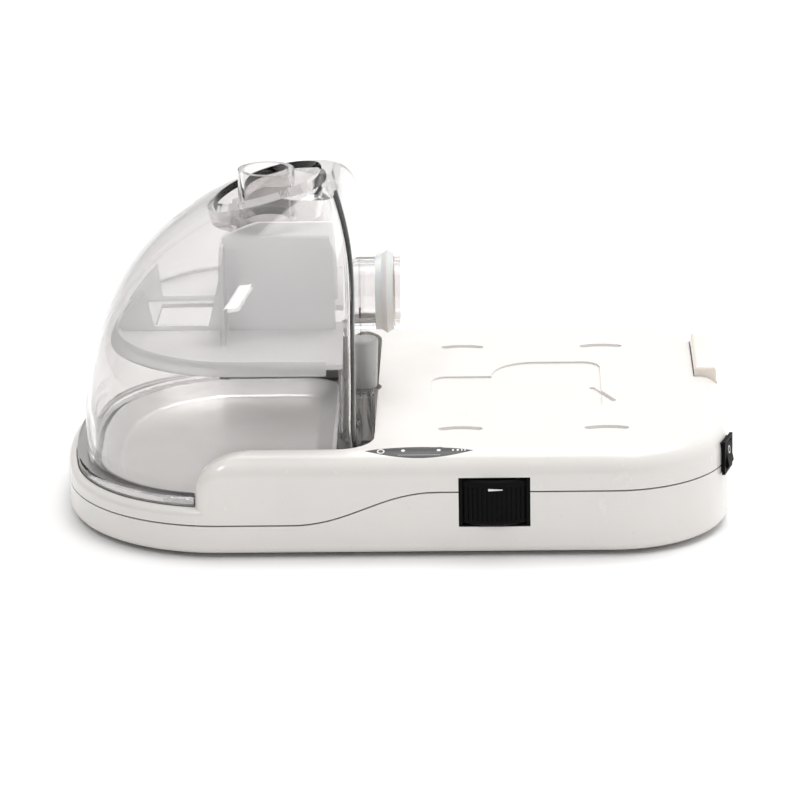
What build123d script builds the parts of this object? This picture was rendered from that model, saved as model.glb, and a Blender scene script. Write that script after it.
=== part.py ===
from build123d import *
import math
import os

os.makedirs("parts", exist_ok=True)

# ---------------------------------------------------------------- driving dimensions (mm)
# Frame: +X runs to the rear (power inlet), -Y is the side with the dial, +Z is up.
# The origin is on the resting surface, under the middle of the base.

nose_x = -130.5
rear_x = 127.0
half_width = 82.5
nose_radius = 173.0
front_corner_radius = 62.0
rear_corner_radius = 45.0

foot_height = 2.0
deck_z = 41.0
deck_edge_radius = 9.0
casing_bottom_radius = 3.0
wall = 2.5
floor_top_z = foot_height + wall

seam_low_z = 13.3
seam_high_z = 26.2
seam_low_x = -40.0
seam_high_x = 16.0
seam_gap = 0.6

lip_z = 20.0
lip_width = 3.0
arm_front_x = -76.0
arm_round_x = 22.0
arm_round_z = 15.0
arm_floor_z = 12.0
arm_edge_radius = 4.5
lip_radius = 2.8
cheek_width = 8.6
well_floor_z = 13.0
deck_front_x = -8.4

outlet_x = -50.3
outlet_top_z = 130.3
outlet_bore_radius = 8.75
port_radius = 11.0
dish_radius = 21.0
dish_floor_z = 112.0
inlet_z = 80.3
inlet_end_x = 1.2
inlet_outer_radius = 13.6
dome_wall = 2.3
dome_bottom_z = 21.0
tank_rear_x = -15.0
tank_inset = 9.0

heater_x = -68.0
heater_radius = 45.0
heater_top_z = 15.6

dial_x = 37.0
dial_radius = 26.0
dial_height = 18.0
dial_bulge = 2.0
dial_window_half = 13.5
dial_window_low = 12.6
dial_window_high = 32.2
dial_y = -half_width - dial_bulge + dial_radius

switch_angle = -16.0
switch_z = 29.6
socket_y = 6.0
socket_z = 21.6

knob_x = -13.3
knob_bottom_z = 41.6
knob_top_z = 61.3
knob_travel = 3.0
catch_x0 = 116.0
catch_y0 = 9.5
catch_y1 = 54.0
catch_top_z = 45.0
catch_bottom_z = 34.6

housing_bosses = [(6, 62), (6, -46), (106, 60), (98, -64)]
front_bosses = [(-108, 38), (-108, -38)]
foot_places = [(-88, 52), (-88, -52), (92, 58), (84, -64)]
board_posts = [(28, -20), (28, 40), (98, -20), (98, 40)]

clearance = 0.3
running = 0.05


def put(name, shape):
    export_step(shape, f"parts/{name}.step")


# ---------------------------------------------------------------- helpers
def box_between(low, high):
    """A box from its lowest corner to its highest corner."""
    size = [h - l for l, h in zip(low, high)]
    middle = [(l + h) / 2 for l, h in zip(low, high)]
    return Pos(*middle) * Box(*size)


def tube_z(x, y, z0, z1, outer, inner=0.0):
    """An upright round post or tube."""
    solid = Pos(x, y, (z0 + z1) / 2) * Cylinder(outer, z1 - z0)
    if inner:
        solid -= Pos(x, y, (z0 + z1) / 2) * Cylinder(inner, z1 - z0 + 2)
    return solid


def along_x(x0, x1, y, z, radius):
    return Pos((x0 + x1) / 2, y, z) * Rot(0, 90, 0) * Cylinder(radius, x1 - x0)


def along_y(x, y0, y1, z, radius):
    return Pos(x, (y0 + y1) / 2, z) * Rot(90, 0, 0) * Cylinder(radius, y1 - y0)


def prism_y(points, y0, y1):
    """A side-view outline, given as (x, z) points, run across the width."""
    face = make_face(Polyline(*[(x, z) for x, z in points], close=True))
    return extrude(Plane.XZ.offset(-y1) * face, y1 - y0)


def nose_outline(nose, rear, half, corner, rear_corner, radius):
    """Plan outline: a shallow nose arc, two front corner arcs, straight sides, rounded rear."""
    corner_y = half - corner
    nose_centre = nose + radius
    corner_x = nose_centre - math.sqrt((radius - corner) ** 2 - corner_y ** 2)
    turn = math.degrees(math.atan2(corner_y, nose_centre - corner_x))
    side_end = rear - rear_corner
    edges = [
        CenterArc((nose_centre, 0), radius, 180 - turn, 2 * turn),
        CenterArc((corner_x, corner_y), corner, 90, 90 - turn),
        CenterArc((corner_x, -corner_y), corner, 180 + turn, 90 - turn),
        Line((corner_x, half), (side_end, half)),
        Line((corner_x, -half), (side_end, -half)),
        CenterArc((side_end, half - rear_corner), rear_corner, 0, 90),
        CenterArc((side_end, rear_corner - half), rear_corner, 270, 90),
        Line((rear, rear_corner - half), (rear, half - rear_corner)),
    ]
    return make_face(Curve() + edges)


def casing_outline(inset):
    return nose_outline(
        nose_x + inset, rear_x - inset, half_width - inset, front_corner_radius - inset,
        rear_corner_radius - inset, nose_radius - inset)


def casing_block(inset, z0, z1):
    return extrude(Pos(0, 0, z0) * casing_outline(inset), z1 - z0)


def tank_block(inset, rear, z0, z1, rear_corner=7.0):
    """The plan of the tank: the casing's nose and sides, closed by a straight rear."""
    face = nose_outline(
        nose_x + inset, rear, half_width - inset, front_corner_radius - inset,
        rear_corner, nose_radius - inset)
    return extrude(Pos(0, 0, z0) * face, z1 - z0)


# ---------------------------------------------------------------- casing
def seam_prism(shift, z_far):
    """Everything between the stepped parting line and the level z_far."""
    low, high = seam_low_z + shift, seam_high_z + shift
    curve = Spline((seam_low_x, low), (seam_high_x, high), tangents=[(1, 0), (1, 0)])
    outline = [
        Line((nose_x - 10, low), (seam_low_x, low)),
        curve,
        Line((seam_high_x, high), (rear_x + 10, high)),
        Line((rear_x + 10, high), (rear_x + 10, z_far)),
        Line((rear_x + 10, z_far), (nose_x - 10, z_far)),
        Line((nose_x - 10, z_far), (nose_x - 10, low)),
    ]
    face = make_face(Curve() + outline)
    return extrude(Plane.XZ.offset(-100) * face, 200)


def arm_cutter():
    """Takes away everything ahead of the rounded front of the two arms."""
    top = arm_front_x + arm_round_x
    spring_z = deck_z - arm_round_z
    outline = [
        Line((arm_front_x, arm_floor_z), (arm_front_x, spring_z)),
        EllipticalCenterArc((top, spring_z), arm_round_x, arm_round_z, 90, arc_size=90),
        Line((top, deck_z), (top, deck_z + 10)),
        Line((top, deck_z + 10), (nose_x - 10, deck_z + 10)),
        Line((nose_x - 10, deck_z + 10), (nose_x - 10, arm_floor_z)),
        Line((nose_x - 10, arm_floor_z), (arm_front_x, arm_floor_z)),
    ]
    face = make_face(Curve() + outline)
    return extrude(Plane.XZ.offset(-100) * face, 200)


def on_arm_front(point):
    """True for a point on the curved front of the arms."""
    rise = (point.Z - deck_z + arm_round_z) / arm_round_z
    if rise <= 0.001:
        return abs(point.X - arm_front_x) < 0.02
    if rise > 1.0001:
        return False
    reach = arm_round_x * math.sqrt(max(0, 1 - rise * rise))
    return abs(point.X - (arm_front_x + arm_round_x - reach)) < 0.05


def is_arm_front(edge):
    """True for the side edges of the arms' front, between the flank and the cut face."""
    on_it = all(on_arm_front(edge @ t) for t in (0, 0.5, 1))
    narrow = abs((edge @ 0).Y - (edge @ 1).Y) < 60
    return on_it and narrow and edge.center().Z > arm_floor_z + 0.5


def casing_outside():
    """Low tray with a rounded lip, joined to the tall rear with its deck and arms."""
    tray = casing_block(0, foot_height, lip_z)
    tray = fillet(tray.edges().group_by(Axis.Z)[0], casing_bottom_radius)
    tray = fillet(tray.edges().group_by(Axis.Z)[-1], lip_radius)
    rear = casing_block(0, foot_height, deck_z)
    rear = fillet(rear.edges().group_by(Axis.Z)[0], casing_bottom_radius)
    rear = fillet(rear.edges().group_by(Axis.Z)[-1], deck_edge_radius)
    rear -= arm_cutter()
    rear = fillet(rear.edges().filter_by(is_arm_front), arm_edge_radius)
    rear -= box_between((nose_x - 10, -100, 0), (arm_front_x, 100, arm_floor_z + 0.1))
    return tray + rear


def casing_skin(depth):
    """The outermost layer of the casing's top and sides, of the given depth."""
    core = casing_block(depth, foot_height - 1, deck_z - depth)
    top = core.edges().group_by(Axis.Z)[-1]
    return casing_outside() - fillet(top, deck_edge_radius - depth)


def window_prism(grow):
    """Eye-shaped prism of the status window, square to the rounded shoulder."""
    half, up, down = 20.5 + grow, 2.9 + grow, 3.8 + grow
    face = make_face(Curve() + [
        ThreePointArc((-half, 0), (0, up), (half, 0)),
        ThreePointArc((-half, 0), (0, -down), (half, 0)),
    ])
    place = Pos(8.8, -74.0, 38.6) * Rot(35, 0, 0)
    return place * extrude(face, 8, both=True)


def deck_marks():
    """Shallow moulded recesses in the deck: four curved grooves, a bottle shape and a slot."""
    depth = 1.2
    cuts = []
    for x in (24.3, 80.0):
        for y in (-50.2, 50.4):
            arc = CenterArc((x, y - 21.0), 21.0, 71, 38)
            cuts.append(Pos(0, 0, deck_z - depth) * extrude(SlotArc(arc, 3.4), 5))
    body = Pos(55.0, 0) * RectangleRounded(38.0, 59.0, 17) + Pos(66.0, 0) * RectangleRounded(26.0, 59.0, 7)
    neck = Pos(27.0, 0) * RectangleRounded(29.0, 24.0, 6)
    bottle = Pos(0, 0, deck_z - 0.7) * extrude(body + neck, 5)
    slot = Pos(79.4, -10.5, deck_z - 1.4) * Rot(0, 0, -65) * extrude(SlotOverall(21, 2.2), 5)
    return cuts + [bottle, slot]


def catch_block(grow, z0, z1):
    """Plan of the appliance catch, which follows the rounded rear corner of the deck."""
    plan = casing_block(2.4 - grow, z0, z1)
    limits = box_between(
        (catch_x0 - grow, catch_y0 - grow, z0), (rear_x, catch_y1 + grow, z1))
    return plan & limits


def knob_well(radius, z0, z1):
    return tube_z(knob_x, 0, z0, z1, radius)


# Places of the turned switch, mounted square to the rounded rear corner.
corner_centre = (rear_x - rear_corner_radius, rear_corner_radius - half_width)
switch_x = corner_centre[0] + rear_corner_radius * math.cos(math.radians(switch_angle))
switch_y = corner_centre[1] + rear_corner_radius * math.sin(math.radians(switch_angle))
switch_place = Pos(switch_x, switch_y, switch_z) * Rot(0, 0, switch_angle)


def rear_cutouts():
    """Openings for the power inlet, the switch body and the dial window."""
    socket = box_between(
        (rear_x - 6, socket_y - 13.7, socket_z - 10.0), (rear_x + 6, socket_y + 13.7, socket_z + 10.0))
    flange = box_between(
        (rear_x - 1.3, socket_y - 15.9, socket_z - 11.7), (rear_x + 6, socket_y + 15.9, socket_z + 11.7))
    switch = switch_place * box_between((-8, -5.2, -5.8), (6, 5.2, 5.8))
    window = box_between(
        (dial_x - dial_window_half, -half_width - 5, dial_window_low),
        (dial_x + dial_window_half, -half_width + 8, dial_window_high))
    thinned = box_between(
        (dial_x - 18, -half_width + 1.5, dial_window_low - 3),
        (dial_x + 18, -half_width + 8, dial_window_high + 1))
    return [socket, flange, switch, window, thinned]


outside = casing_outside()
inner_core = casing_block(wall, floor_top_z, 60)
above_seam = seam_prism(seam_gap, 60)


def lower_housing():
    body = outside - inner_core - seam_prism(0, 60)
    for x, y in housing_bosses:
        body += tube_z(x, y, foot_height, 12, 4.0)
    for x, y in front_bosses:
        body += tube_z(x, y, foot_height, 7.8, 4.0)
    for x, y in board_posts:
        body += tube_z(x, y, foot_height + 1, 10, 3.2)
    for x, y in housing_bosses + front_bosses:
        body -= tube_z(x, y, 0, 14, 1.7)
        body -= tube_z(x, y, 0, 4.6, 3.2)
    for x, y in board_posts:
        body -= tube_z(x, y, 5, 12, 1.0)
    for x, y in foot_places:
        body -= tube_z(x, y, 0, foot_height + 0.8, 7.3)
    for angle in (90, 210, 330):
        x, y = polar_place(angle, 34)
        body += tube_z(x, y, foot_height + 1, 5.2, 1.6)
    for cut in rear_cutouts():
        body -= cut
    return body


def polar_place(angle, radius):
    a = math.radians(angle)
    return heater_x + radius * math.cos(a), radius * math.sin(a)


def well_cut():
    """The space that the tank stands in: stepped floor, front ring and the two arms."""
    ledge_z = 17.5
    front = casing_block(lip_width, ledge_z, 60) & box_between((-140, -90, 0), (arm_front_x - 0.3, 90, 70))
    between_arms = tank_block(cheek_width, deck_front_x, ledge_z, 60, 14)
    deep = tank_block(14.0, deck_front_x - 12, well_floor_z, 30, 10)
    opening = tube_z(heater_x, 0, 5, 20, heater_radius + 0.6)
    return [front, between_arms, deep, opening]


def upper_housing():
    ring_below = casing_block(-1, 0, 60) - casing_block(wall + 0.1, -5, 80) - above_seam
    body = outside - ring_below - box_between((-140, -90, 0), (140, 90, floor_top_z + 4))
    under_deck = casing_block(wall, 0, deck_z - wall)
    under_deck = fillet(under_deck.edges().group_by(Axis.Z)[-1], deck_edge_radius - wall)
    body -= under_deck & box_between((deck_front_x + wall, -90, 0), (140, 90, 60))
    body -= casing_block(wall, 0, well_floor_z - wall) & box_between((-140, -90, 0), (0, 90, 60))
    arm_hollow = casing_block(wall, 0, 30) - tank_block(cheek_width - 2, 20, -5, 80)
    body -= arm_hollow & box_between((-70, -90, 0), (deck_front_x + wall + 1, 90, 60))
    for cut in well_cut() + deck_marks() + rear_cutouts():
        body -= cut
    body -= catch_block(clearance, 30, 60)
    pocket = casing_skin(1.3) & window_prism(0.1)
    body -= pocket
    for x in (4.0, 16.5):
        body -= tube_z(x, -73.5, 30, 60, 1.5)
    body -= knob_well(3.5, 10, 30) + knob_well(6.2, knob_bottom_z - knob_travel - 0.5, 60)
    for x, y in housing_bosses:
        body += tube_z(x, y, 12.2, deck_z - 1.5, 3.6, 1.5)
        body -= tube_z(x, y, 12, 22, 1.5)
    for x, y in front_bosses:
        body += tube_z(x, y, 8.0, well_floor_z - 1.0, 3.6)
        body -= tube_z(x, y, 7, 11.5, 1.5)
    return body


put("lower_housing", lower_housing())
put("upper_housing", upper_housing())


def housing_seal():
    """Dark bead that fills the parting line, set a little back from the surface."""
    bead = casing_block(0.9, 5, 40) - casing_block(wall - 0.2, 4, 41)
    bead &= seam_prism(0, 60) - above_seam
    for cut in rear_cutouts():
        bead -= cut
    return bead


put("housing_seal", housing_seal())


# ---------------------------------------------------------------- water tank
dome_top_z = 130.5
straight_z = 40.0
ridge_x = -27.0
dome_nose_x = nose_x + tank_inset - 2.0
dome_half = half_width - tank_inset


def dome_section(z, inset):
    """Plan of the clear lid at one height: it shrinks towards a ridge near the rear."""
    rise = max(0.0, (z - straight_z) / (131.0 - straight_z))
    reach = (1 - rise ** 2.2) ** 0.625
    nose = ridge_x - (ridge_x - dome_nose_x) * reach + inset
    half = dome_half * math.sqrt(1 - rise ** 2.6) - inset
    rear = tank_rear_x - 10 * max(0.0, (z - 90) / 41) ** 3 - inset
    length = rear - nose
    return nose_outline(
        nose, rear, half, min(0.75 * half, 0.55 * length), min(7.0 - inset, 0.3 * length),
        2.1 * half)


def dome_solid(inset, drop, bottom_z):
    """The lid's rounded form, made smaller by an inset all round and a drop in height."""
    heights = [dome_bottom_z, 45, 62, 76, 88, 98, 107, 115, 121.5, 126, 129, dome_top_z]
    highest = dome_top_z - inset  # the sections close to the ridge are too small to inset
    sections = [Pos(0, 0, z - drop) * dome_section(z, inset) for z in heights if z <= highest]
    solid = loft(sections)
    if bottom_z < dome_bottom_z - drop:
        foot = Pos(0, 0, bottom_z) * dome_section(dome_bottom_z, inset)
        solid += extrude(foot, dome_bottom_z - drop - bottom_z)
    return solid


def outlet_dish(extra, z0):
    """Round dished pocket in the lid that the outlet port stands in."""
    top_radius = dish_radius + 1.5 + extra
    height = 140.0 - z0
    return Pos(outlet_x, 0, z0 + height / 2) * Cone(dish_radius - 1.5 + extra, top_radius, height)


def tank_dome():
    lid = dome_solid(0, 0, dome_bottom_z)
    hollow = dome_solid(dome_wall, 2.2, dome_bottom_z - 5)
    hollow -= outlet_dish(dome_wall, dish_floor_z - dome_wall)
    hollow -= knob_well(8.0 + dome_wall, 0, 64 + dome_wall)
    lid -= outlet_dish(0, dish_floor_z)
    lid -= hollow
    flange = casing_block(3.4, dome_bottom_z, dome_bottom_z + 2.6)
    flange = fillet(flange.edges().group_by(Axis.Z)[-1], 0.8)
    flange -= tank_block(tank_inset + 1.0, 20, 0, 60)
    flange &= box_between((-140, -90, 0), (arm_front_x - 0.6, 90, 60))
    lid += flange
    lid -= knob_well(8.0, 0, 64)
    lid -= tube_z(outlet_x, 0, dish_floor_z - 8, outlet_top_z + 9, port_radius + 1 + running)
    return lid - along_x(-22, inlet_end_x, 0, inlet_z, inlet_outer_radius + running)


def outlet_tube():
    """Upright port with a wider foot that is bonded into the floor of the dish."""
    tube = tube_z(outlet_x, 0, dish_floor_z - dome_wall, outlet_top_z, port_radius)
    tube += tube_z(outlet_x, 0, dish_floor_z - dome_wall, dish_floor_z, port_radius + 1)
    return tube - tube_z(outlet_x, 0, dish_floor_z - 8, outlet_top_z + 1, outlet_bore_radius)


def inlet_tube():
    tube = along_x(tank_rear_x - dome_wall, inlet_end_x, 0, inlet_z, inlet_outer_radius)
    return tube - along_x(-30, inlet_end_x + 1, 0, inlet_z, port_radius)


def tank_ring(inset_outer, inset_inner, rear_inner, z0, z1):
    """Flat ring under the lid: full width at the nose, narrow between the arms."""
    front = casing_block(3.4 + inset_outer, z0, z1) & box_between((-140, -90, 0), (arm_front_x - 0.6, 90, 60))
    ring = front + tank_block(tank_inset + inset_outer, tank_rear_x - inset_outer, z0, z1)
    ring -= tank_block(inset_inner, rear_inner, z0 - 1, z1 + 1, 4)
    return ring - knob_well(8.0, 0, 60)


pan_bottom_z = 15.8
pan_rim_z = 22.5


def pan_cup(shrink, z0, z1):
    low = nose_outline(
        nose_x + 19.6 + shrink, -31.4 - shrink, half_width - 19.6 - shrink,
        front_corner_radius - 19.6 - shrink, 10 - shrink, nose_radius - 19.6 - shrink)
    high = nose_outline(
        nose_x + 13.4 + shrink, -25.2 - shrink, half_width - 13.4 - shrink,
        front_corner_radius - 13.4 - shrink, 16 - shrink, nose_radius - 13.4 - shrink)
    return loft([Pos(0, 0, z0) * low, Pos(0, 0, z1) * high], ruled=True)


def tank_pan():
    cup = pan_cup(0, pan_bottom_z, pan_rim_z)
    cup = fillet(cup.edges().group_by(Axis.Z)[0], 3.0)
    rim = tank_block(12.6, -24.4, pan_rim_z - 0.9, pan_rim_z, 16.8)
    rim = fillet(rim.edges().group_by(Axis.Z)[-1], 0.4)
    hollow = pan_cup(1.0, pan_bottom_z + 1, pan_rim_z + 0.1)
    hollow = fillet(hollow.edges().group_by(Axis.Z)[0], 3.0)
    return cup + rim - hollow


def tank_gasket():
    ring = tank_block(9.2, -15.2, 20.4, dome_bottom_z) - tank_block(11.6, -24.6, 0, 60, 4)
    return ring - knob_well(8.0, 0, 60)


separator_low_y = 18.5
separator_high_y = 25.6
separator_bend_z = 106.0
separator_thickness = 1.4
shelf_z = 71.5


def separator_wall():
    """One leaning wall of the separator on the +Y side, upright above the bend."""
    low, high, thick = separator_low_y, separator_high_y, separator_thickness
    profile = make_face(Polyline(
        (low, shelf_z - 1), (high, separator_bend_z), (high, 128), (high + thick, 128),
        (high + thick, separator_bend_z), (low + thick, shelf_z - 1), close=True))
    sheet = Pos(-125, 0, 0) * extrude(Plane.YZ * profile, 101)
    return sheet - prism_y(
        [(-94, shelf_z + 2), (-73, shelf_z + 2), (-67.5, 96), (-64, 130), (-110, 130), (-96, 84)],
        low - 3, high + 4)


def baffle_insert():
    """Frosted separator: a shelf above the water and two air walls up to the roof."""
    room = dome_solid(4.6, 5.5, 60)
    shelf = box_between((-130, -80, shelf_z - 1.6), (-19.8, 80, shelf_z)) & room
    shelf -= box_between((-94, -15, 0), (-73, 15, 99))
    rim = dome_solid(4.6, 5.5, 60) - dome_solid(6.0, 5.5, 60)
    rim &= box_between((-130, -80, shelf_z - 4), (-26, 80, shelf_z + 1.5))
    wall_piece = separator_wall()
    fin = box_between((-67, separator_low_y, shelf_z - 1), (-65.4, 41, separator_bend_z + 2))
    fin += wall_piece
    fin &= room
    body = shelf + rim + fin + mirror(fin, Plane.XZ)
    body -= outlet_dish(dome_wall + 1.2, dish_floor_z - dome_wall - 1.5)
    body -= knob_well(8.0 + dome_wall + 1.2, 0, 68)
    return body - along_x(-26, 0, 0, inlet_z, inlet_outer_radius + 0.4)


def inlet_seal():
    """Soft sleeve on the inlet port with a raised sealing ridge."""
    profile = make_face(Polyline(
        (-8.6, inlet_outer_radius), (-8.6, 14.9), (-6.2, 14.9), (-4.1, 16.3),
        (-2.0, 14.9), (-1.6, 14.9), (-1.6, inlet_outer_radius), close=True))
    ring = revolve(Plane.XZ * profile, Axis.X)
    return Pos(0, 0, inlet_z) * ring


put("tank_dome", tank_dome())
put("outlet_tube", outlet_tube())
put("inlet_tube", inlet_tube())
put("tank_frame", tank_ring(0, 13.6, -25.6, 17.6, 20.4))
put("tank_pan", tank_pan())
put("tank_gasket", tank_gasket())
put("baffle_insert", baffle_insert())
put("inlet_seal", inlet_seal())


# ---------------------------------------------------------------- heater
def heater_plate():
    plate = tube_z(heater_x, 0, heater_top_z - 3.0, heater_top_z, heater_radius)
    plate = fillet(plate.edges().group_by(Axis.Z)[-1], 0.6)
    return plate


def heater_carrier():
    """Plastic dish that holds the heater from below and stops it under the well floor."""
    z0, z1 = 8.4, 10.2
    dish = tube_z(heater_x, 0, z0, z1, 48.5) + tube_z(heater_x, 0, z1, 11.6, 44.6, 43.0)
    dish -= tube_z(heater_x, 0, 5, 20, 13.0)
    for angle in (90, 210, 330):
        x, y = polar_place(angle, 34)
        dish += tube_z(x, y, 6.9, z0, 1.4)
    return dish


def spring_coil(x, y, z0, z1, radius, wire, turns):
    """Coil spring: a helix of round wire, standing upright."""
    rise = z1 - z0 - 2 * wire
    path = Helix(rise / turns, rise, radius)
    start = path @ 0
    section = Plane(origin=start, z_dir=path % 0) * Circle(wire)
    return Pos(x, y, z0 + wire) * sweep(section, path)


def heater_springs():
    coils = []
    for angle in (90, 210, 330):
        x, y = polar_place(angle, 34)
        coils.append(spring_coil(x, y, floor_top_z + 0.02, 8.38, 2.6, 0.3, 3))
    return Compound(children=coils)


put("heater_plate", heater_plate())
put("heating_foil", tube_z(heater_x, 0, 12.0, 12.6, 42.5, 12.0))
put("insulation_disc", tube_z(heater_x, 0, 10.2, 12.0, 42.5, 12.0))
put("thermal_cutout", tube_z(heater_x, 0, 9.6, 12.6, 8.0) + box_between(
    (heater_x - 11, -2.5, 9.6), (heater_x + 11, 2.5, 10.4)))
put("heater_carrier", heater_carrier())
put("heater_springs", heater_springs())


# ---------------------------------------------------------------- dial
def dial_wheel():
    """Thumb wheel with a ribbed rim, open below, on a central hub."""
    low, high = 13.4, 13.4 + dial_height
    wheel = tube_z(dial_x, dial_y, low, high, dial_radius)
    wheel = chamfer(wheel.edges(), 0.7)
    wheel -= tube_z(dial_x, dial_y, low - 1, high - 2.4, dial_radius - 2.2)
    wheel += tube_z(dial_x, dial_y, 17.0, high - 1, 5.5)
    count = 90
    rib = box_between((dial_radius - 0.35, -0.3, low + 2.2), (dial_radius + 1, 0.3, high - 2.8))
    ribs = [Rot(0, 0, 360 / count * i) * rib for i in range(count)]
    wheel -= Pos(dial_x, dial_y, 0) * Compound(children=ribs)
    return wheel - tube_z(dial_x, dial_y, 10, 29, 3.0)


def dial_bezel():
    """Black frame that lines the dial's window and clears the wheel."""
    x0, x1 = dial_x - dial_window_half, dial_x + dial_window_half
    y0, y1 = -half_width + 0.4, -half_width + 7.0
    z0, z1 = dial_window_low, dial_window_high
    frame = box_between((x0 + 0.1, y0, z0 + 0.1), (x1 - 0.1, y1, z1 - 0.1))
    flange = box_between((x0 - 3, -half_width + 1.7, z0 - 2.5), (x1 + 3, y1 - 2.5, z1 + 0.7))
    frame += flange
    return frame - tube_z(dial_x, dial_y, z0 + 0.55, z1 - 0.55, dial_radius + 0.5)


def potentiometer():
    body = box_between((dial_x - 8, dial_y - 8, 6.2), (dial_x + 8, dial_y + 8, 12.6))
    body += tube_z(dial_x, dial_y, 12, 16.2, 4.5)
    return body - tube_z(dial_x, dial_y, 7.4, 20, 3.0 + running)


put("dial_wheel", dial_wheel())
put("dial_shaft", tube_z(dial_x, dial_y, 7.6, 29, 3.0))
put("dial_bezel", dial_bezel())
put("potentiometer", potentiometer())
put("dial_board", box_between((dial_x - 14, dial_y - 12, 4.6), (dial_x + 14, dial_y + 12, 6.2)))


# ---------------------------------------------------------------- power switch
pivot_x = -1.5
rocker_reach = 5.4
switch_frame_half = 6.6
switch_tab_z = 3.4


def rocker():
    """V-faced rocker whose ends follow an arc about its pivot."""
    half = rocker_reach + 0.3
    points = [
        (-4.2, -4.0), (-4.2, 4.0), (1.8 - half * math.tan(math.radians(8)), half), (1.8, 0),
        (1.8 + half * math.tan(math.radians(12)), -half)]
    body = prism_y(points, -3.8, 3.8)
    body &= along_y(pivot_x, -3.8, 3.8, 0, rocker_reach)
    return body + along_y(pivot_x, -4.8, 4.8, 0, 1.0)


def switch_body():
    inside = rocker_reach + running
    body = box_between((-15, -5.0, -5.6), (0.2, 5.0, 5.6))
    body += box_between((0.2, -6.2, -switch_frame_half), (1.4, 6.2, switch_frame_half))
    body -= box_between((-9.2, -4.1, -inside), (5, 4.1, inside))
    body -= along_y(pivot_x, -4.95, 4.95, 0, 1.0 + running)
    for z in (-switch_tab_z, switch_tab_z):
        body += box_between((-19, -2.4, z - 0.4), (-14.5, 2.4, z + 0.4))
    return body


put("switch_body", switch_place * switch_body())
put("switch_rocker", switch_place * rocker())


# ---------------------------------------------------------------- power inlet
def power_inlet():
    body = box_between(
        (rear_x - 20, socket_y - 13.4, socket_z - 9.7), (rear_x - 1.2, socket_y + 13.4, socket_z + 9.7))
    flange = box_between(
        (rear_x - 1.2, socket_y - 15.6, socket_z - 11.4), (rear_x, socket_y + 15.6, socket_z + 11.4))
    body += fillet(flange.edges().filter_by(Axis.X), 2.5)
    cavity = box_between(
        (rear_x - 17.5, socket_y - 12.1, socket_z - 8.1), (rear_x + 5, socket_y + 12.1, socket_z + 8.1))
    body -= chamfer(cavity.edges().filter_by(Axis.X).group_by(Axis.Z)[-1], 4)
    return body


def inlet_pins():
    blades = []
    for y, z in ((-7, -2), (7, -2), (0, 2)):
        blades.append(box_between(
            (rear_x - 25, socket_y + y - 1, socket_z + z - 2),
            (rear_x - 4.5, socket_y + y + 1, socket_z + z + 2)))
    return Compound(children=blades)


put("power_inlet", power_inlet() - inlet_pins())
put("inlet_pins", inlet_pins())


# ---------------------------------------------------------------- electronics
board_z = 10.0
board_top = board_z + 1.6


def control_board():
    board = box_between((22, -26, board_z), (104, 46, board_top))
    for x, y in board_posts:
        board -= tube_z(x, y, 5, 20, 1.3)
    return board


def on_board(x, y, width, depth, height):
    return box_between(
        (x - width / 2, y - depth / 2, board_top), (x + width / 2, y + depth / 2, board_top + height))


def housing_screw(x, y, tip_z):
    """Cross-head screw driven upwards from a counterbore in the base."""
    head_z, head_height, head, shank = 4.6, 1.8, 2.9, 1.5
    body = tube_z(x, y, head_z - head_height, head_z, head) + tube_z(x, y, head_z - 0.5, tip_z, shank)
    for dx, dy in ((1.7, 0.35), (0.35, 1.7)):
        low = head_z - head_height - 0.1
        body -= box_between((x - dx, y - dy, low), (x + dx, y + dy, low + 1.2))
    return body


put("control_board", control_board())
put("relay", on_board(84, 30, 20, 16, 16))
put("triac", on_board(46, 32, 11, 5, 14))
put("heatsink", on_board(46, 24, 24, 3, 18) + Compound(children=[
    on_board(46 + step, 19.5, 1.4, 6, 18) for step in (-11, -5.5, 0, 5.5, 11)]))
put("capacitors", Compound(children=[
    tube_z(66, y, board_top, board_top + 15, 5.0) for y in (34, 20)] + [on_board(58, 4, 18, 8, 12)]))
put("transformer", on_board(84, 2, 24, 22, 18))
put("fuse", along_x(30, 50, -12, board_top + 4, 2.6) + Compound(children=[
    on_board(x, -12, 2.4, 7, 4.2) for x in (31.2, 48.8)]))
put("board_connectors", Compound(children=[
    on_board(26, 10, 5, 14, 7), on_board(99, 4 + 5, 4, 5, 7), on_board(72, -21, 14, 6, 7)]))
put("board_screws", Compound(children=[
    tube_z(x, y, board_top, board_top + 1.6, 2.2) + tube_z(x, y, 5.2, board_top + 0.1, 1.0)
    for x, y in board_posts]))

indicator_places = [(4.0, -73.5), (16.5, -73.5)]
indicator_top = 33.6
put("indicator_board", box_between((-1.5, -79, indicator_top - 1.6), (19.8, -67, indicator_top)))
put("indicator_leds", Compound(children=[
    tube_z(x, y, indicator_top, indicator_top + 3.2, 1.5) for x, y in indicator_places]))


def light_pipes():
    under = outside - casing_skin(1.3)
    return Compound(children=[
        tube_z(x, y, indicator_top + 3.2, 60, 1.4) & under for x, y in indicator_places])


put("light_pipes", light_pipes())
put("status_window", casing_skin(1.25) & window_prism(0))


# ---------------------------------------------------------------- release knob
def release_knob():
    knob = Pos(knob_x, 0, (knob_bottom_z + knob_top_z) / 2) * Cone(
        4.5, 5.2, knob_top_z - knob_bottom_z)
    knob = fillet(knob.edges().group_by(Axis.Z)[-1], 1.4)
    knob -= tube_z(knob_x, 0, knob_bottom_z - 1, knob_bottom_z + 7, 3.4)
    return knob + tube_z(knob_x, 0, knob_bottom_z + 1.5, knob_bottom_z + 8, 2.4)


def knob_guide():
    guide = tube_z(knob_x, 0, 11.0, 37.6, 3.3, 2.0 + 0.35)
    return guide + tube_z(knob_x, 0, 17.5, 18.7, 4.7, 3.0)


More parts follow.
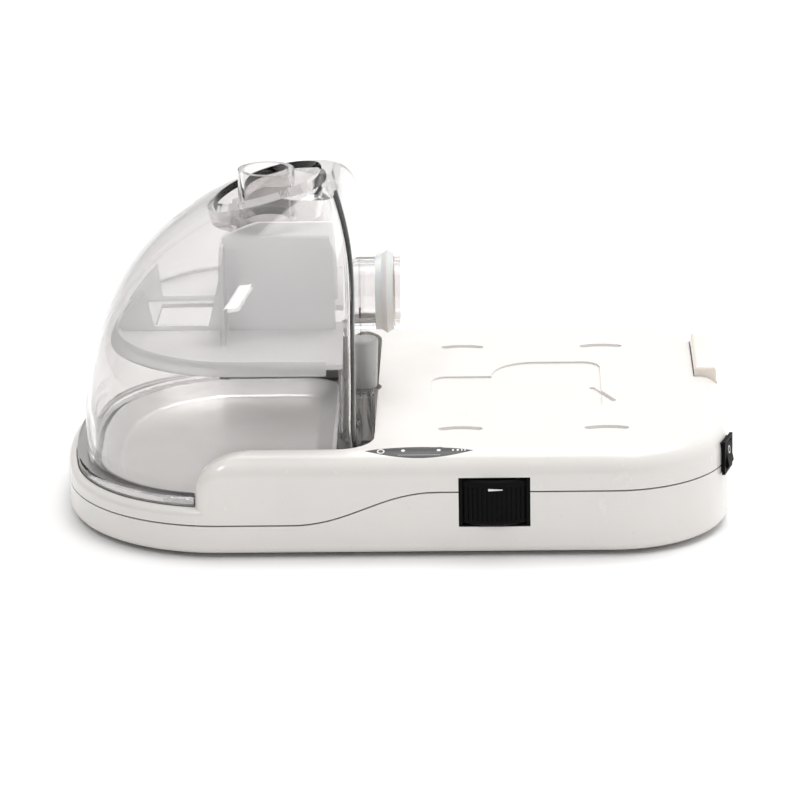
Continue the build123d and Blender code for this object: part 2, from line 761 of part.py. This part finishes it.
put("release_knob", release_knob() - tube_z(knob_x, 0, 30, knob_bottom_z + 6, 2.0))
put("release_stem", tube_z(knob_x, 0, 13.0, knob_bottom_z + 6, 2.0))
put("knob_guide", knob_guide())
put("knob_spring", spring_coil(knob_x, 0, 37.65, knob_bottom_z + 1.45, 2.75, 0.28, 3))


# ---------------------------------------------------------------- appliance catch
def appliance_catch():
    """Soft block at the rear of the deck that the appliance on top locks against."""
    body = catch_block(0, catch_bottom_z, catch_top_z)
    top = body.edges().group_by(Axis.Z)[-1]
    return fillet(top, 2.0)


put("appliance_catch", appliance_catch())
put("catch_guide", box_between((110.5, 24, 30.0), (115.4, 40, deck_z - wall)) + box_between(
    (110.5, 24, 22.0), (122.0, 40, 24.0)) + box_between((110.5, 24, 22.0), (113.0, 40, 31.0)))
put("catch_springs", Compound(children=[
    spring_coil(119.6, y, 24.02, catch_bottom_z - 0.02, 2.2, 0.3, 4) for y in (28, 36)]))


# ---------------------------------------------------------------- feet and fasteners
put("rubber_feet", Compound(children=[
    chamfer(tube_z(x, y, 0, foot_height + 0.8, 7.0).edges().group_by(Axis.Z)[0], 0.6)
    for x, y in foot_places]))
put("housing_screws", Compound(children=[
    housing_screw(x, y, 20) for x, y in housing_bosses] + [
    housing_screw(x, y, 11.0) for x, y in front_bosses]))


# ---------------------------------------------------------------- internal wiring
def wire(points, radius=0.9, bend=2.0):
    """Insulated wire along straight runs joined by tangent arcs."""
    path = FilletPolyline(*points, radius=bend)
    section = Plane(origin=path @ 0, z_dir=path % 0) * Circle(radius)
    return sweep(section, path)


pin_end_x = rear_x - 25


def behind_switch(depth, z):
    turn = math.radians(switch_angle)
    return (switch_x - depth * math.cos(turn), switch_y - depth * math.sin(turn), switch_z + z)


put("mains_wires", Compound(children=[
    wire([(pin_end_x, -1, 19.6), (98.5, -1, 19.6), (98.5, -24, 19.6), behind_switch(24, -switch_tab_z),
          behind_switch(19.05, -switch_tab_z)]),
    wire([behind_switch(19.05, switch_tab_z), behind_switch(25, switch_tab_z), (78, -34, 31),
          (74, -21, 28), (74, -21, 18.7)]),
    wire([(pin_end_x, 13, 19.6), (98.6, 13, 19.6), (98.6, 13, 24), (98.6, 9, 24), (98.6, 9, 18.7)],
         0.9, 1.4)]))
put("heater_wires", Compound(children=[
    wire([(x, 8.5, 18.7), (x, 8.5, 26), (12, y, 26), (12, y, 5.9), (-62, y - 4, 5.9), (-62, y - 4, 8.2)])
    for x, y in ((24.8, 6.5), (27.2, 10.5))]))
put("dial_wires", Compound(children=[
    wire([(x, -48, 6.3), (x, -48, 8.2), (x, -20, 8.2), (x, -20, 9.9)], 0.6, 0.8)
    for x in (44, 46.5, 49)]))
put("indicator_wires", Compound(children=[
    wire([(x, -68, 31.9), (x, -68, 20), (x, -32, 20), (24, y, 20), (24, y, 11.7)], 0.6, 1.6)
    for x, y in ((-0.6, -12), (0.9, -14.5))]))
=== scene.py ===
import math

import bmesh
import bpy
from mathutils import Matrix, Vector


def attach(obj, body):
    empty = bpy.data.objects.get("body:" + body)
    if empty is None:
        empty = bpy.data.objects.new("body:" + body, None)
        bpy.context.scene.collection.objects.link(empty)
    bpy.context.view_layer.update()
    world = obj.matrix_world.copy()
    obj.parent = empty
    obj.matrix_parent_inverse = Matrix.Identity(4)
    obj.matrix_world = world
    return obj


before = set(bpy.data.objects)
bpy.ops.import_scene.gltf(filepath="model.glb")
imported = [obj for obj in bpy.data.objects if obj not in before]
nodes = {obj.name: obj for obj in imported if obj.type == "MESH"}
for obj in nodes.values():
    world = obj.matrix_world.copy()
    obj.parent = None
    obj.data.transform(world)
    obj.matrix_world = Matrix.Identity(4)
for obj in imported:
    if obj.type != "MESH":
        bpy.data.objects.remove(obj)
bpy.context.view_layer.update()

MM = 0.001

CAMERA_AZIMUTH, CAMERA_ELEVATION, CAMERA_ROLL = 1.5, 18.7, 1.0
CAMERA_DISTANCE = 1.680
CAMERA_LENS = 192.15
CAMERA_AIM = (0, 0, 0.0354)

WINDOW_TILT = math.radians(35)
WINDOW_MIDDLE_Y, WINDOW_MIDDLE_Z = -74.0, 38.6
ROCKER_TURN = math.radians(-16)
MARK_START = 20.0

SKY_BASE = 0.46
SKY_SLOPE = (("X", 0.34), ("Y", 0.32), ("Z", 0.44))


# ---------------------------------------------------------------- camera
def place_camera():
    azimuth, elevation, roll = map(math.radians, (CAMERA_AZIMUTH, CAMERA_ELEVATION, CAMERA_ROLL))
    back = Vector((
        math.sin(azimuth) * math.cos(elevation),
        -math.cos(azimuth) * math.cos(elevation),
        math.sin(elevation)))
    right = Vector((math.cos(azimuth), math.sin(azimuth), 0))
    up = back.cross(right)
    cam_right = math.cos(roll) * right - math.sin(roll) * up
    cam_up = math.sin(roll) * right + math.cos(roll) * up
    turn = Matrix((cam_right, cam_up, back)).transposed().to_4x4()
    data = bpy.data.cameras.new("camera")
    data.sensor_width = 36.0
    data.lens = CAMERA_LENS
    camera = bpy.data.objects.new("camera", data)
    camera.matrix_world = Matrix.Translation(Vector(CAMERA_AIM) + back * CAMERA_DISTANCE) @ turn
    bpy.context.scene.collection.objects.link(camera)
    bpy.context.scene.camera = camera


place_camera()


# ---------------------------------------------------------------- materials
class Shader:
    """A node material with short calls for the nodes that most finishes share."""

    def __init__(self, name):
        self.material = bpy.data.materials.new(name)
        self.material.use_nodes = True
        self.tree = self.material.node_tree
        self.tree.nodes.clear()
        self.out = self.add("ShaderNodeOutputMaterial")
        self.place = self.add("ShaderNodeTexCoord").outputs["Object"]

    def add(self, kind, **settings):
        node = self.tree.nodes.new(kind)
        for key, value in settings.items():
            setattr(node, key, value)
        return node

    def link(self, a, b):
        self.tree.links.new(a, b)

    def noise(self, scale, detail=3.0, stretch=(1, 1, 1), rough=0.5):
        shift = self.add("ShaderNodeMapping")
        shift.inputs["Scale"].default_value = stretch
        self.link(self.place, shift.inputs["Vector"])
        node = self.add("ShaderNodeTexNoise")
        node.inputs["Scale"].default_value = scale
        node.inputs["Detail"].default_value = detail
        node.inputs["Roughness"].default_value = rough
        self.link(shift.outputs["Vector"], node.inputs["Vector"])
        return node.outputs["Fac"]

    def ramp(self, value, stops):
        """Colours or greys along a value; each stop is (position, colour or grey)."""
        node = self.add("ShaderNodeValToRGB")
        while len(node.color_ramp.elements) < len(stops):
            node.color_ramp.elements.new(0.5)
        for element, (position, colour) in zip(node.color_ramp.elements, stops):
            element.position = position
            if isinstance(colour, (int, float)):
                colour = (colour, colour, colour)
            element.color = (*colour[:3], 1)
        self.link(value, node.inputs["Fac"])
        return node.outputs["Color"]

    def multiply(self, a, b):
        node = self.add("ShaderNodeMix", data_type="RGBA", blend_type="MULTIPLY")
        node.inputs["Factor"].default_value = 1.0
        self.link(a, node.inputs[6])
        self.link(b, node.inputs[7])
        return node.outputs[2]

    def bump(self, *layers):
        """Layers of (height socket, strength, distance in metres), one on top of another."""
        normal = None
        for height, strength, distance in layers:
            node = self.add("ShaderNodeBump")
            node.inputs["Strength"].default_value = strength
            node.inputs["Distance"].default_value = distance
            self.link(height, node.inputs["Height"])
            if normal:
                self.link(normal, node.inputs["Normal"])
            normal = node.outputs["Normal"]
        return normal

    def surface(self, **inputs):
        node = self.add("ShaderNodeBsdfPrincipled")
        for key, value in inputs.items():
            socket = node.inputs[key.replace("_", " ")]
            if isinstance(value, bpy.types.NodeSocket):
                self.link(value, socket)
            elif isinstance(value, tuple):
                socket.default_value = (*value, 1)
            else:
                socket.default_value = value
        self.link(node.outputs["BSDF"], self.out.inputs["Surface"])
        return node


def shade(colour, factor):
    return tuple(min(1.0, c * factor) for c in colour)


def moulded(name, colour, rough=0.35, grain=0.15, grain_scale=2600, wave=0.02, spread=0.05, **extra):
    """Injection-moulded plastic: faint mottling, uneven gloss, fine grain and a slow surface wave."""
    s = Shader(name)
    base = s.ramp(s.noise(38, 4), [(0.3, shade(colour, 1 - spread)), (0.7, shade(colour, 1 + spread))])
    speck = s.ramp(s.noise(900, 2), [(0.24, 0.93), (0.34, 1.0)])
    base = s.multiply(base, speck)
    gloss = s.ramp(s.noise(55, 5, rough=0.65), [(0.3, rough * 0.82), (0.72, rough * 1.2)])
    normal = s.bump((s.noise(70, 2), wave, 0.0006), (s.noise(grain_scale, 2), grain, 0.00003))
    s.surface(Base_Color=base, Roughness=gloss, Normal=normal, **extra)
    return s.material


def metal(name, colour, rough=0.3, brush=(1, 1, 1), scale=900, strength=0.2, spread=0.12):
    """Bare metal with brushed or rolled lines and slight tarnish."""
    s = Shader(name)
    stops = [(0.25, shade(colour, 1 - spread)), (0.75, shade(colour, 1 + spread))]
    base = s.ramp(s.noise(60, 5, rough=0.6), stops)
    lines = s.noise(scale, 3, brush)
    gloss = s.ramp(lines, [(0.3, rough * 0.75), (0.7, rough * 1.3)])
    s.surface(Base_Color=base, Metallic=1.0, Roughness=gloss, Normal=s.bump((lines, strength, 0.00004)))
    return s.material


def clear(name, tint, rough, index, haze=0.0):
    """Clear moulded plastic; lamps reach what is inside it."""
    s = Shader(name)
    gloss = s.ramp(s.noise(45, 5, rough=0.6), [(0.35, rough), (0.75, rough * 1.8 + haze)])
    colour = s.ramp(s.noise(30, 3), [(0.3, shade(tint, 0.98)), (0.7, tint)])
    normal = s.bump((s.noise(26, 2), 0.03, 0.002), (s.noise(1500, 2), 0.03, 0.00002))
    body = s.surface(
        Base_Color=colour, Roughness=gloss, Normal=normal, Transmission_Weight=1.0, IOR=index,
        Coat_Weight=0.7, Coat_Roughness=0.02)
    through = s.add("ShaderNodeBsdfTransparent")
    through.inputs["Color"].default_value = (*shade(tint, 0.97), 1)
    pick = s.add("ShaderNodeMixShader")
    s.link(s.add("ShaderNodeLightPath").outputs["Is Shadow Ray"], pick.inputs["Fac"])
    s.link(body.outputs["BSDF"], pick.inputs[1])
    s.link(through.outputs["BSDF"], pick.inputs[2])
    s.link(pick.outputs["Shader"], s.out.inputs["Surface"])
    return s.material


# Casing and controls
white = moulded(
    "housing_white", (0.755, 0.732, 0.705), 0.24, 0.05, 2400, 0.006, 0.015,
    Coat_Weight=0.25, Coat_Roughness=0.12)
frame_white = moulded("frame_white", (0.80, 0.775, 0.72), 0.28, 0.05, spread=0.02)
catch_white = moulded(
    "catch_plastic", (0.80, 0.77, 0.70), 0.16, 0.04, spread=0.03,
    Subsurface_Weight=0.4, Subsurface_Scale=0.006, Coat_Weight=0.5, Coat_Roughness=0.05)
knob_grey = moulded("knob_grey", (0.50, 0.50, 0.495), 0.3, 0.12, 1800, 0.04, 0.04)
black = moulded(
    "black_plastic", (0.0025, 0.0025, 0.0025), 0.5, 0.2, 1700, 0.04, 0.1, Specular_IOR_Level=0.08)
grey = moulded("grey_plastic", (0.16, 0.16, 0.165), 0.5, 0.3)
lens = moulded(
    "smoked_lens", (0.055, 0.053, 0.055), 0.3, 0.05, spread=0.06, Specular_IOR_Level=0.35)
# Dark brown rubber: the feet's own colour; on the housing seal bead it is painted shade standing in for
# the shadow of the parting gap
rubber_and_gap_shade = moulded("rubber_and_gap_shade", (0.030, 0.022, 0.018), 0.72, 0.5, 1400)

# Water tank
soft_rubber = moulded(
    "soft_rubber", (0.86, 0.855, 0.84), 0.3, 0.08, spread=0.03,
    Subsurface_Weight=0.5, Subsurface_Scale=0.006, Transmission_Weight=0.35)
gasket_grey = moulded("gasket_grey", (0.06, 0.06, 0.062), 0.4, 0.1, 1400)
ring_grey = moulded("ring_grey", (0.24, 0.24, 0.235), 0.3, 0.06)
frosted = moulded(
    "frosted_plastic", (0.93, 0.935, 0.94), 0.42, 0.12, 1600, 0.03, 0.02,
    Transmission_Weight=0.62, IOR=1.2)
pan_metal = metal("pan_metal", (0.80, 0.80, 0.795), 0.38, (1, 5, 1), 420, 0.015, 0.03)
dome_clear = clear("tank_clear", (0.850, 0.836, 0.832), 0.03, 1.16)
stem_clear = clear("stem_clear", (0.95, 0.95, 0.95), 0.06, 1.12, 0.05)

# Heater, electronics and wiring
board = moulded("circuit_board", (0.018, 0.10, 0.035), 0.4, 0.5, 1200, spread=0.2)
blue = moulded("relay_blue", (0.02, 0.07, 0.26), 0.3, 0.15)
amber = moulded("heater_foil", (0.45, 0.19, 0.04), 0.3, 0.3, 700)
wool = moulded("insulation", (0.60, 0.57, 0.50), 0.9, 1.0, 500, 0.2, 0.12)
brown = moulded("wire_brown", (0.11, 0.04, 0.02), 0.4, 0.2)
wire_white = moulded("wire_white", (0.68, 0.65, 0.60), 0.4, 0.2)
wire_grey = moulded("wire_grey", (0.2, 0.2, 0.2), 0.4, 0.2)
core = moulded("core_dark", (0.05, 0.05, 0.055), 0.5, 0.6, 900)
plate_metal = metal("plate_metal", (0.62, 0.62, 0.62), 0.32, (1, 14, 1), 240, 0.2)
steel = metal("steel", (0.52, 0.52, 0.52), 0.28)
brass = metal("contact_metal", (0.72, 0.62, 0.38), 0.25)
glass_clear = clear("lamp_clear", (0.95, 0.96, 0.95), 0.05, 1.45)

# Printed marks; the white also paints a glint on the dial wheel
ink_and_glint_white = moulded("ink_and_glint_white", (0.80, 0.80, 0.79), 0.5, 0.1)
ink_grey = moulded("ink_grey", (0.42, 0.42, 0.42), 0.5, 0.1)

finishes = {
    "appliance_catch": catch_white,
    "baffle_insert": frosted,
    "board_connectors": wire_white,
    "board_screws": steel,
    "capacitors": black,
    "catch_guide": frame_white,
    "catch_springs": steel,
    "control_board": board,
    "dial_bezel": black,
    "dial_board": board,
    "dial_shaft": grey,
    "dial_wheel": black,
    "dial_wires": wire_grey,
    "fuse": glass_clear,
    "heater_carrier": grey,
    "heater_plate": plate_metal,
    "heater_springs": steel,
    "heater_wires": wire_white,
    "heating_foil": amber,
    "heatsink": plate_metal,
    "housing_screws": steel,
    # dark seal bead: painted shade of the parting gap between the two housing halves
    "housing_seal": rubber_and_gap_shade,
    "indicator_board": board,
    "indicator_leds": glass_clear,
    "indicator_wires": wire_grey,
    "inlet_pins": brass,
    "inlet_seal": soft_rubber,
    "inlet_tube": dome_clear,
    "insulation_disc": wool,
    "knob_guide": stem_clear,
    "knob_spring": steel,
    "light_pipes": glass_clear,
    "lower_housing": white,
    "mains_wires": brown,
    "outlet_tube": dome_clear,
    "potentiometer": grey,
    "power_inlet": black,
    "relay": blue,
    "release_knob": knob_grey,
    "release_stem": stem_clear,
    "rubber_feet": rubber_and_gap_shade,
    "status_window": lens,
    "switch_body": black,
    "switch_rocker": black,
    "tank_dome": dome_clear,
    "tank_frame": ring_grey,
    "tank_gasket": gasket_grey,
    "tank_pan": pan_metal,
    "thermal_cutout": steel,
    "transformer": core,
    "triac": black,
    "upper_housing": white,
}
for name, node in nodes.items():
    node.data.materials.clear()
    node.data.materials.append(finishes[name])


# ---------------------------------------------------------------- printed marks and a painted glint
def on_surface(node, spot, toward, along=(1, 0, 0)):
    """A placement where a ray from outside meets a node: z on its normal, x close to a direction."""
    direction = Vector(toward).normalized()
    start = Vector(spot) * MM - direction * MARK_START * MM
    point, normal = nodes[node].ray_cast(start, direction)[1:3]
    z = normal.normalized()
    y = z.cross(Vector(along)).normalized()
    x = y.cross(z)
    return Matrix.Translation(point) @ Matrix((x, y, z)).transposed().to_4x4()


def new_piece(name, bm, material, body, placement):
    bmesh.ops.transform(bm, matrix=placement, verts=bm.verts)
    bmesh.ops.recalc_face_normals(bm, faces=bm.faces)
    mesh = bpy.data.meshes.new(name)
    bm.to_mesh(mesh)
    bm.free()
    mesh.materials.append(material)
    for face in mesh.polygons:
        face.use_smooth = False
    obj = bpy.data.objects.new(name, mesh)
    bpy.context.scene.collection.objects.link(obj)
    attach(obj, body)


def ring_shape(outer, inner, height):
    """Flat ring spun from its cross-section."""
    bm = bmesh.new()
    corners = [(inner, 0, -height), (outer, 0, -height), (outer, 0, height), (inner, 0, height)]
    bm.faces.new([bm.verts.new(Vector(c) * MM) for c in corners])
    bmesh.ops.spin(
        bm, geom=bm.verts[:] + bm.edges[:] + bm.faces[:], cent=(0, 0, 0), axis=(0, 0, 1),
        angle=math.radians(360), steps=32, use_merge=True, use_duplicate=False)
    return bm


def disc_shape(radius, height):
    bm = bmesh.new()
    bmesh.ops.create_cone(
        bm, cap_ends=True, segments=28, radius1=radius * MM, radius2=radius * 0.8 * MM, depth=height * MM)
    return bm


def bar_shape(length, width, height, taper=1.0):
    """Flat bar whose +X end is narrowed by the taper."""
    bm = bmesh.new()
    bmesh.ops.create_cube(bm, size=1.0)
    bmesh.ops.scale(bm, vec=(length * MM, width * MM, height * MM), verts=bm.verts)
    bmesh.ops.scale(bm, vec=(1, taper, 1), verts=[v for v in bm.verts if v.co.x > 0])
    return bm


def window_mark(name, x, offset, shape, material=ink_and_glint_white):
    """A printed mark on the status window; offset runs up its slope from the middle."""
    up, out = math.cos(WINDOW_TILT), math.sin(WINDOW_TILT)
    spot = (x, WINDOW_MIDDLE_Y + offset * up, WINDOW_MIDDLE_Z + offset * out)
    new_piece(name, shape, material, "base", on_surface("status_window", spot, (0, out, -up)))


window_mark("mark_ring", -5.6, -0.3, ring_shape(1.45, 0.95, 0.03))
window_mark("mark_light_1", 2.8, 0.2, disc_shape(0.85, 0.10))
window_mark("mark_light_2", 16.2, 0.3, disc_shape(0.85, 0.10))
for index, (x, length) in enumerate(((21.6, 0.7), (23.4, 0.8), (24.9, 0.5), (26.1, 0.4))):
    window_mark(f"mark_bar_{index + 1}", x, 0.3, bar_shape(length, 1.3, 0.06, 0.7))
window_mark("mark_line", 8.8, -2.4, bar_shape(16, 0.22, 0.05), ink_grey)

# Pale tapered bar on the dial wheel: a painted highlight standing in for a glint on its edge
new_piece(
    "dial_painted_glint", bar_shape(5.4, 0.9, 0.25, 0.35), ink_and_glint_white, "dial",
    on_surface("dial_wheel", (37.4, -84.5, 28.0), (0, 1, 0)))
rocker_face = (-math.cos(ROCKER_TURN), -math.sin(ROCKER_TURN), 0)
new_piece(
    "rocker_mark", ring_shape(1.5, 1.0, 0.04), ink_and_glint_white, "rocker",
    on_surface("switch_rocker", (124.9, -49.8, 31.4), rocker_face, (0, 0, 1)))


# ---------------------------------------------------------------- studio
def lamp(name, spot, aim, size, power):
    data = bpy.data.lights.new(name, "AREA")
    data.shape = "RECTANGLE"
    data.size, data.size_y = size
    data.energy = power
    obj = bpy.data.objects.new(name, data)
    obj.location = spot
    obj.rotation_euler = (Vector(aim) - Vector(spot)).to_track_quat("-Z", "Y").to_euler()
    bpy.context.scene.collection.objects.link(obj)


def sky():
    """White surroundings, brightest above, on the far side and past the rear end of the device."""
    world = bpy.data.worlds.new("studio")
    world.use_nodes = True
    tree = world.node_tree
    background = tree.nodes["Background"]
    axes = tree.nodes.new("ShaderNodeSeparateXYZ")
    tree.links.new(tree.nodes.new("ShaderNodeTexCoord").outputs["Generated"], axes.inputs["Vector"])
    level = None
    for axis, amount in SKY_SLOPE:
        step = tree.nodes.new("ShaderNodeMath")
        step.operation = "MULTIPLY_ADD"
        step.inputs[1].default_value = amount
        step.inputs[2].default_value = SKY_BASE
        tree.links.new(axes.outputs[axis], step.inputs[0])
        if level:
            tree.links.new(level, step.inputs[2])
        level = step.outputs[0]
    tree.links.new(level, background.inputs["Strength"])
    background.inputs["Color"].default_value = (1.0, 0.995, 0.99, 1)
    bpy.context.scene.world = world


def paper_floor():
    bm = bmesh.new()
    bmesh.ops.create_grid(bm, x_segments=1, y_segments=1, size=6.0)
    mesh = bpy.data.meshes.new("floor")
    bm.to_mesh(mesh)
    bm.free()
    s = Shader("floor_paper")
    s.surface(
        Base_Color=(0.93, 0.93, 0.93), Roughness=0.9, Normal=s.bump((s.noise(300, 3), 0.05, 0.0002)))
    mesh.materials.append(s.material)
    floor = bpy.data.objects.new("floor", mesh)
    bpy.context.scene.collection.objects.link(floor)


sky()
lamp("window", (-0.5, -1.0, 1.3), (0, 0, 0.08), (0.28, 0.40), 5)
lamp("top", (0.3, 0.35, 1.6), (0.05, 0, 0), (1.4, 1.2), 18)
paper_floor()
bpy.context.scene.view_settings.view_transform = "Standard"
